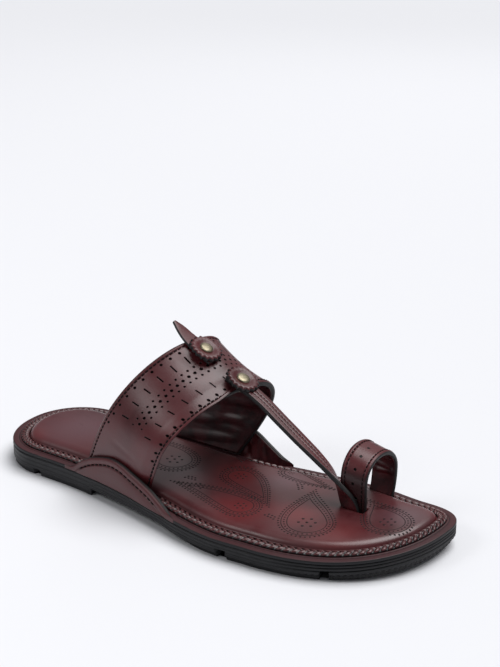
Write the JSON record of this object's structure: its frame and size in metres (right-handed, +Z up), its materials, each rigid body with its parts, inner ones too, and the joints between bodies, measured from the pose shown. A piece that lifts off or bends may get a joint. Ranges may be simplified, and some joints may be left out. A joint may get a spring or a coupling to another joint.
{
  "type": "sandal",
  "caption": "Open leather sandal for the right foot with an instep band, a toe ring joined by a twisted thong, pinked rosettes and a padded insole on a rubber sole.",
  "frame": {"origin": "on the floor under the middle of the sole's box", "axes": "+X to the outer side of the foot, +Y to the toe, +Z up"},
  "size_m": [0.104, 0.288, 0.1012],
  "materials": {
    "sole_rubber": "matt black moulded rubber",
    "rim_leather": "waxed brown leather board with a black edge",
    "braid_leather": "brown leather strip, ridged and stitched",
    "insole_leather": "polished burgundy leather over padding",
    "strap_leather": "burnished burgundy leather with dark painted edges",
    "antique_brass": "dull antique brass"
  },
  "bodies": {
    "root": {"outsole": "sole_rubber", "midsole": "rim_leather", "braid_front": "braid_leather", "braid_rear": "braid_leather", "insole": "insole_leather", "upper": "strap_leather", "side_flap_lateral": "strap_leather", "side_flap_medial": "strap_leather", "tail": "strap_leather", "rosette_front": "strap_leather", "rosette_rear": "strap_leather", "rivet_front": "antique_brass", "rivet_rear": "antique_brass"}
  },
  "joints": []
}
